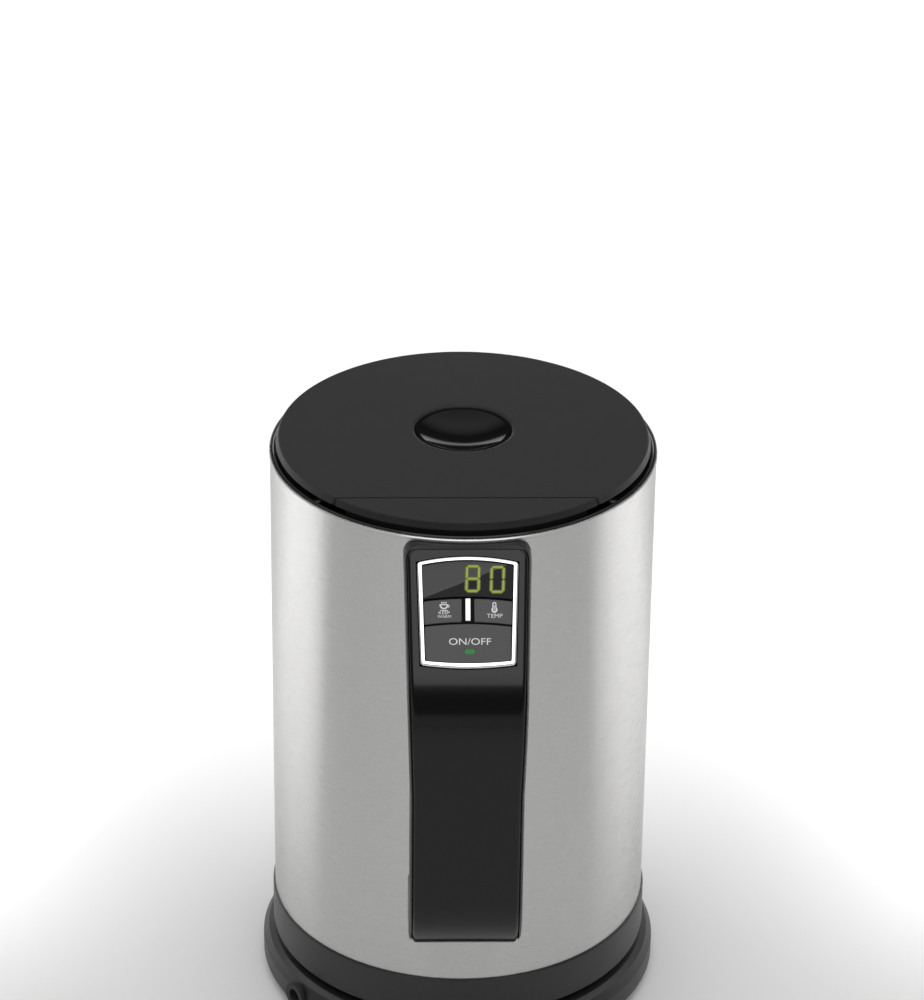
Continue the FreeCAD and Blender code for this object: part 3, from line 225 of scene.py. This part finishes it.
def make_materials(lens):
    """One finish for each material slot of the record."""
    return {
        "steel": brushed_round("steel", (0.60, 0.596, 0.588), 0.28, 0.95),
        "steel_inside": metal("steel_inside", (0.58, 0.575, 0.56), 0.34, grain=500.0),
        "spring_steel": metal("spring_steel", (0.62, 0.62, 0.64), 0.18),
        "screw_steel": metal("screw_steel", (0.55, 0.55, 0.57), 0.28),
        "element_steel": metal("element_steel", (0.36, 0.33, 0.30), 0.42, vary=0.2),
        "aluminium_plate": metal("aluminium_plate", (0.72, 0.72, 0.73), 0.36),
        "brass_contacts": metal("brass_contacts", (0.78, 0.58, 0.26), 0.24, vary=0.08),
        "black_gloss": plastic("black_gloss", (0.006, 0.006, 0.0065), 0.12, depth=0.0, spread=0.02,
                               vary=0.05, level=0.3),
        "black_satin": plastic("black_satin", (0.016, 0.016, 0.017), 0.34),
        "lid_plastic": plastic("lid_plastic", (0.018, 0.018, 0.0185), 0.46, depth=0.02, level=0.22),
        "base_plastic": plastic("base_plastic", (0.016, 0.016, 0.017), 0.40),
        "button_plastic": plastic("button_plastic", (0.078, 0.078, 0.080), 0.42, level=0.3),
        "chrome_trim": metal("chrome_trim", (0.90, 0.90, 0.91), 0.16, depth=0.0, spread=0.03),
        "smoked_lens": smoked_window_painted_glare("smoked_lens", lens),
        "clear_window": glass("clear_window", (0.86, 0.90, 0.92), 0.04),
        "light_pipe": glow("light_pipe", (0.006, 0.19, 0.018), 0.8, body=0.1),
        "seal_rubber": plastic("seal_rubber", (0.50, 0.50, 0.48), 0.55),
        "black_rubber": plastic("black_rubber", (0.018, 0.018, 0.018), 0.65, depth=0.05, grain=1400.0),
        "board_green": plastic("board_green", (0.02, 0.13, 0.05), 0.30),
        "dark_component": plastic("dark_component", (0.03, 0.03, 0.032), 0.45),
        "heat_plastic": plastic("heat_plastic", (0.46, 0.42, 0.35), 0.55),
    }


def dress_frame(mats):
    """Gives every CAD node its slot's finish, and two nodes a deeper black; for the keys' tray that black is
    painted shade in the gaps between the keys.
    """
    slots = {s["node"]: s["material_slot"] for s in frame["record"]["subparts"]}
    deep = (0.003, 0.003, 0.0032)
    # The keys' tray is seen only through the gaps between the keys; its deeper black is painted shade there.
    darker = {"button_frame": plastic("well_painted_shade", deep, 0.6, level=0.1),
              "lid_button": plastic("dish_gloss", deep, 0.09, spread=0.01, depth=0.0, level=0.12)}
    for name, obj in frame["nodes"].items():
        obj.data.materials.clear()
        obj.data.materials.append(darker.get(name) or mats[slots[name]])


# ---------------------------------------------------------------- drawing on a flat face
class Face:
    """The outer face of a CAD node: x runs across it, y up it, in millimetres from its middle."""

    def __init__(self, node, out, across=Vector((1, 0, 0))):
        self.out, self.across, self.up = out, across, out.cross(across)
        points = [v.co for v in frame["nodes"][node].data.vertices]
        spans = [[p.dot(axis) for p in points] for axis in (across, self.up)]
        x, y = [(min(s) + max(s)) / 2 for s in spans]
        self.middle = across * x + self.up * y + out * max(p.dot(out) for p in points)

    def point(self, x, y, lift=0.0):
        return self.middle + (self.across * x + self.up * y + self.out * lift) * MM

    def matrix(self, x, y, lift=0.0):
        axes = Matrix((self.across, self.up, self.out)).transposed().to_4x4()
        return Matrix.Translation(self.point(x, y, lift)) @ axes @ Matrix.Scale(MM, 4)


def place_piece(name, mesh, matrix, body, material):
    """Makes a mesh into a piece that rides on a body."""
    mesh.transform(matrix)
    mesh.materials.clear()
    mesh.materials.append(material)
    piece = bpy.data.objects.new(name, mesh)
    bpy.context.scene.collection.objects.link(piece)
    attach(piece, body)


def prisms(name, outlines, depth):
    """Flat shapes raised from z = 0 to depth, each from its anticlockwise outline."""
    bm = bmesh.new()
    for outline in outlines:
        low = [bm.verts.new((x, y, 0)) for x, y in outline]
        high = [bm.verts.new((x, y, depth)) for x, y in outline]
        bm.faces.new(low[::-1])
        bm.faces.new(high)
        for i in range(len(outline)):
            j = (i + 1) % len(outline)
            bm.faces.new((low[i], low[j], high[j], high[i]))
    mesh = bpy.data.meshes.new(name)
    bm.to_mesh(mesh)
    bm.free()
    return mesh


def lettering(name, words, width, height, depth):
    """Raised lettering, centred, stretched to a width and a height."""
    curve = bpy.data.curves.new(name, "FONT")
    curve.body = words
    curve.extrude = 0.5
    curve.resolution_u = 6
    holder = bpy.data.objects.new(name + "_curve", curve)
    bpy.context.scene.collection.objects.link(holder)
    bpy.context.view_layer.update()
    graph = bpy.context.evaluated_depsgraph_get()
    mesh = bpy.data.meshes.new_from_object(holder.evaluated_get(graph))
    bpy.data.objects.remove(holder)
    bm = bmesh.new()
    bm.from_mesh(mesh)
    bmesh.ops.remove_doubles(bm, verts=bm.verts, dist=1e-5)
    low = [min(v.co[i] for v in bm.verts) for i in range(3)]
    high = [max(v.co[i] for v in bm.verts) for i in range(3)]
    for v in bm.verts:
        for i, size in enumerate((width, height, depth)):
            part = (v.co[i] - low[i]) / (high[i] - low[i])
            v.co[i] = size * (part - 0.5) if i < 2 else size * part
    bm.to_mesh(mesh)
    bm.free()
    mesh.name = name
    return mesh


SEGMENTS = {"8": "abcdefg", "0": "abcdef"}
DIGIT_W, DIGIT_H, STROKE, SLANT = 5.2, 10.0, 0.72, 0.035
SEGMENT_GAP = 0.14       # from the end of a bar to its corner
EDGE_GLOW = 0.38         # how far the dim edge reaches past a bar
DIGITS = (("tens_digit", "8", 1.85, 0.6), ("units_digit", "0", 11.0, 0.3))
FILM_T, PRINT_T = 0.03, 0.05              # thickness of the digits and of the printing
PRINT_SINK = 0.02                         # how much of it is in the face it is printed on


def segment_outlines(digit, extra=0.0):
    """Pointed bars of a seven segment digit centred on the origin; extra widens every bar."""
    t = STROKE / 2 + extra
    w, h = (DIGIT_W - STROKE) / 2, (DIGIT_H - STROKE) / 2
    gap = SEGMENT_GAP - extra
    level = {"a": h, "g": 0.0, "d": -h}
    upright = {"f": (-w, h), "b": (w, h), "e": (-w, 0.0), "c": (w, 0.0)}
    bars = []
    for key in SEGMENTS[digit]:
        if key in level:
            y, x = level[key], w - gap
            shape = [(-x, y), (-x + t, y - t), (x - t, y - t), (x, y), (x - t, y + t), (-x + t, y + t)]
        else:
            x, top = upright[key]
            top, low = top - gap, top - h + gap
            right = [(x, low), (x + t, low + t), (x + t, top - t)]
            left = [(x, top), (x - t, top - t), (x - t, low + t)]
            shape = right + left
        bars.append([(px + SLANT * py, py) for px, py in shape])
    return bars


def arc_points(cx, cy, radius, start, end, steps=16):
    turn = [math.radians(start + (end - start) * i / steps) for i in range(steps + 1)]
    return [(cx + radius * math.cos(a), cy + radius * math.sin(a)) for a in turn]


def band(cx, cy, inner, outer, start, end):
    return arc_points(cx, cy, outer, start, end) + arc_points(cx, cy, inner, end, start)


def bar(x0, x1, y0, y1):
    return [(x0, y0), (x1, y0), (x1, y1), (x0, y1)]


def cup_icon():
    """A steaming cup on its saucer."""
    steam = [bar(x - 0.2, x + 0.2, 1.05, 1.75) for x in (-0.75, 0.0, 0.75)]
    bowl = band(0, 0.55, 1.05, 1.6, 180, 360)
    rim = bar(-1.6, 1.6, 0.5, 0.85)
    handle = band(1.55, 0.1, 0.25, 0.55, -80, 80)
    saucer = bar(-1.45, 1.45, -1.65, -1.35)
    return [bowl, rim, handle, saucer] + steam


def thermometer_icon():
    """A bulb with a stem, both drawn in outline."""
    bulb = band(0, -0.75, 0.45, 1.15, -230, 50)
    walls = [bar(-0.75, -0.32, 0.0, 1.45), bar(0.32, 0.75, 0.0, 1.45)]
    return [bulb, *walls, band(0, 1.45, 0.32, 0.75, 0, 180), bar(-0.12, 0.12, -0.9, 0.9)]


def draw_panel(faces):
    """The lit digits on the lens, and the pictures and words on the three keys."""
    ink = plastic("white_ink", (0.80, 0.80, 0.79), 0.5, depth=0.0)
    lit = glow("digit_lit", (0.33, 0.42, 0.015), 0.80, body=0.1)
    halo = glow("digit_edge", (0.075, 0.10, 0.003), 0.9, body=0.1)
    lens = faces["display_lens"]
    for name, digit, x, y in DIGITS:
        edge = prisms(name + "_edge", segment_outlines(digit, EDGE_GLOW), FILM_T)
        place_piece(name + "_edge", edge, lens.matrix(x, y, -0.01), "kettle", halo)
        bars = prisms(name, segment_outlines(digit), FILM_T)
        place_piece(name, bars, lens.matrix(x, y, 0.02), "kettle", lit)

    prints = (
        ("warm_icon", cup_icon(), None, "keep_warm", 0.5, 2.0),
        ("warm_words_upper", "KEEP", (4.1, 1.05), "keep_warm", 0.6, -0.35),
        ("warm_words_lower", "WARM", (5.0, 1.05), "keep_warm", 0.6, -1.75),
        ("temp_icon", thermometer_icon(), None, "temp", 0.4, 1.5),
        ("temp_words", "TEMP", (5.8, 1.5), "temp", 0.5, -1.5),
        ("power_words", "ON/OFF", (15.6, 2.5), "power", 0.7, 0.75),
    )
    for name, drawn, size, key, x, y in prints:
        mesh = lettering(name, drawn, *size, PRINT_T) if size else prisms(name, drawn, PRINT_T)
        spot = faces[key + "_button"].matrix(x, y, -PRINT_SINK)
        place_piece(name, mesh, spot, key + "_key", ink)


LEVELS = 8                       # lines on the water window
LEVEL_MARGIN = 9.0               # from the window's ends to the first and last of them
LEVEL_HALF = (1.6, 3.0)          # half length of the short and of the long lines
LEVEL_T, LEVEL_SINK = 0.3, 0.27
LEVEL_WORDS = {1: "0.5", 3: "1.0", 5: "1.5", 7: "MAX"}


def draw_level_marks():
    """Filling marks on the water window: evenly spaced lines, and generic figures over the long ones."""
    ink = plastic("mark_ink", (0.70, 0.70, 0.69), 0.5, depth=0.0)
    face = Face("level_window", Vector((0, -1, 0)))
    low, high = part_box("level_window")
    reach = (high.z - low.z) / MM / 2 - LEVEL_MARGIN
    heights = [-reach + i * 2 * reach / (LEVELS - 1) for i in range(LEVELS)]
    halves = [LEVEL_HALF[i % 2] for i in range(LEVELS)]
    lines = [bar(-half, half, y - 0.25, y + 0.25) for half, y in zip(halves, heights)]
    spot = face.matrix(0, 0, -LEVEL_SINK)
    place_piece("level_lines", prisms("level_lines", lines, LEVEL_T), spot, "kettle", ink)
    for i, words in LEVEL_WORDS.items():
        name = "level_figure_" + str(i)
        mesh = lettering(name, words, 4.0, 1.9, LEVEL_T)
        spot = face.matrix(0, heights[i] + 2.2, -LEVEL_SINK)
        place_piece(name, mesh, spot, "kettle", ink)


# ---------------------------------------------------------------- studio
def add_area(name, at, aim, size, radiance, spread):
    """A soft light of an even radiance over its whole face."""
    data = bpy.data.lights.new(name, "AREA")
    data.shape = "RECTANGLE"
    data.size, data.size_y = size
    data.energy = radiance * math.pi * size[0] * size[1]
    data.spread = math.radians(spread)
    lamp = bpy.data.objects.new(name, data)
    bpy.context.scene.collection.objects.link(lamp)
    lamp.location = at
    lamp.rotation_euler = (Vector(aim) - Vector(at)).to_track_quat("-Z", "Y").to_euler()


# The room's brightness against the sine of the height looked at: pale wall, dark gap, bright ceiling.
ROOM_GLOW = ((0.0, 0.55), (0.09, 0.5), (0.2, 0.06), (0.45, 0.06), (0.80, 1.0))
FLOOR_HALF = 40.0
# Each light's name, place, the point it faces, width and height, radiance, and spread in degrees. The
# last three shine straight down, so they whiten the floor and leave the kettle alone.
LIGHTS = (
    ("left_panel", (-0.34, 0.16, 0.30), (0.2, 0.16, 0.30), (0.42, 0.60), 0.46, 180),
    ("right_panel", (0.34, 0.13, 0.30), (-0.2, 0.13, 0.30), (0.44, 0.60), 0.38, 180),
    ("front_soft", (0.0, -0.783, 1.223), (0.0, -0.1, 0.2), (1.2, 0.84), 1.25, 180),
    ("backdrop", (0.0, 2.2, 0.40), (0.0, 0.0, 0.40), (3.0, 0.7), 1.0, 180),
    ("floor_behind", (0.0, 1.62, 0.8), (0.0, 1.62, 0.0), (6.0, 3.0), 0.56, 24),
    ("floor_left", (-0.60, 0.12, 0.8), (-0.60, 0.12, 0.0), (0.84, 0.26), 0.60, 14),
    ("floor_right", (0.60, 0.12, 0.8), (0.60, 0.12, 0.0), (0.84, 0.26), 0.60, 14),
)


def add_room():
    """The light of the room itself, brighter towards the ceiling."""
    world = bpy.data.worlds.new("studio")
    bpy.context.scene.world = world
    world.use_nodes = True
    nodes, links = world.node_tree.nodes, world.node_tree.links
    facing = nodes.new("ShaderNodeTexCoord")
    split = nodes.new("ShaderNodeSeparateXYZ")
    ramp = nodes.new("ShaderNodeValToRGB")
    ramp.color_ramp.interpolation = "EASE"
    stops = ramp.color_ramp.elements
    for i, (height, level) in enumerate(ROOM_GLOW):
        stop = stops[i] if i < 2 else stops.new(height)
        stop.position, stop.color = height, (level, level, level, 1)
    links.new(facing.outputs["Generated"], split.inputs[0])
    links.new(split.outputs[2], ramp.inputs[0])
    links.new(ramp.outputs[0], nodes["Background"].inputs[0])


def add_floor():
    h = FLOOR_HALF
    mesh = bpy.data.meshes.new("floor")
    mesh.from_pydata([(-h, -h, 0), (h, -h, 0), (h, h, 0), (-h, h, 0)], [], [(0, 1, 2, 3)])
    floor = bpy.data.objects.new("floor", mesh)
    bpy.context.scene.collection.objects.link(floor)
    n = Nodes("floor")
    n.link(n.tint(n.noise(n.place(), 3.0), (0.80, 0.80, 0.80), (0.83, 0.83, 0.83)), "Base Color")
    n.set(Roughness=0.8, Specular_IOR_Level=0.1)
    mesh.materials.append(n.mat)


def add_studio():
    bpy.context.scene.view_settings.view_transform = "Standard"
    add_room()
    add_floor()
    for light in LIGHTS:
        add_area(*light)


def main():
    add_camera()
    inward = Vector(next(j for j in frame["joints"] if j["name"] == "power_press")["axis"])
    panel_nodes = ("display_lens", "keep_warm_button", "temp_button", "power_button")
    faces = {node: Face(node, -inward.normalized()) for node in panel_nodes}
    dress_frame(make_materials(faces["display_lens"]))
    draw_panel(faces)
    draw_level_marks()
    add_studio()


main()
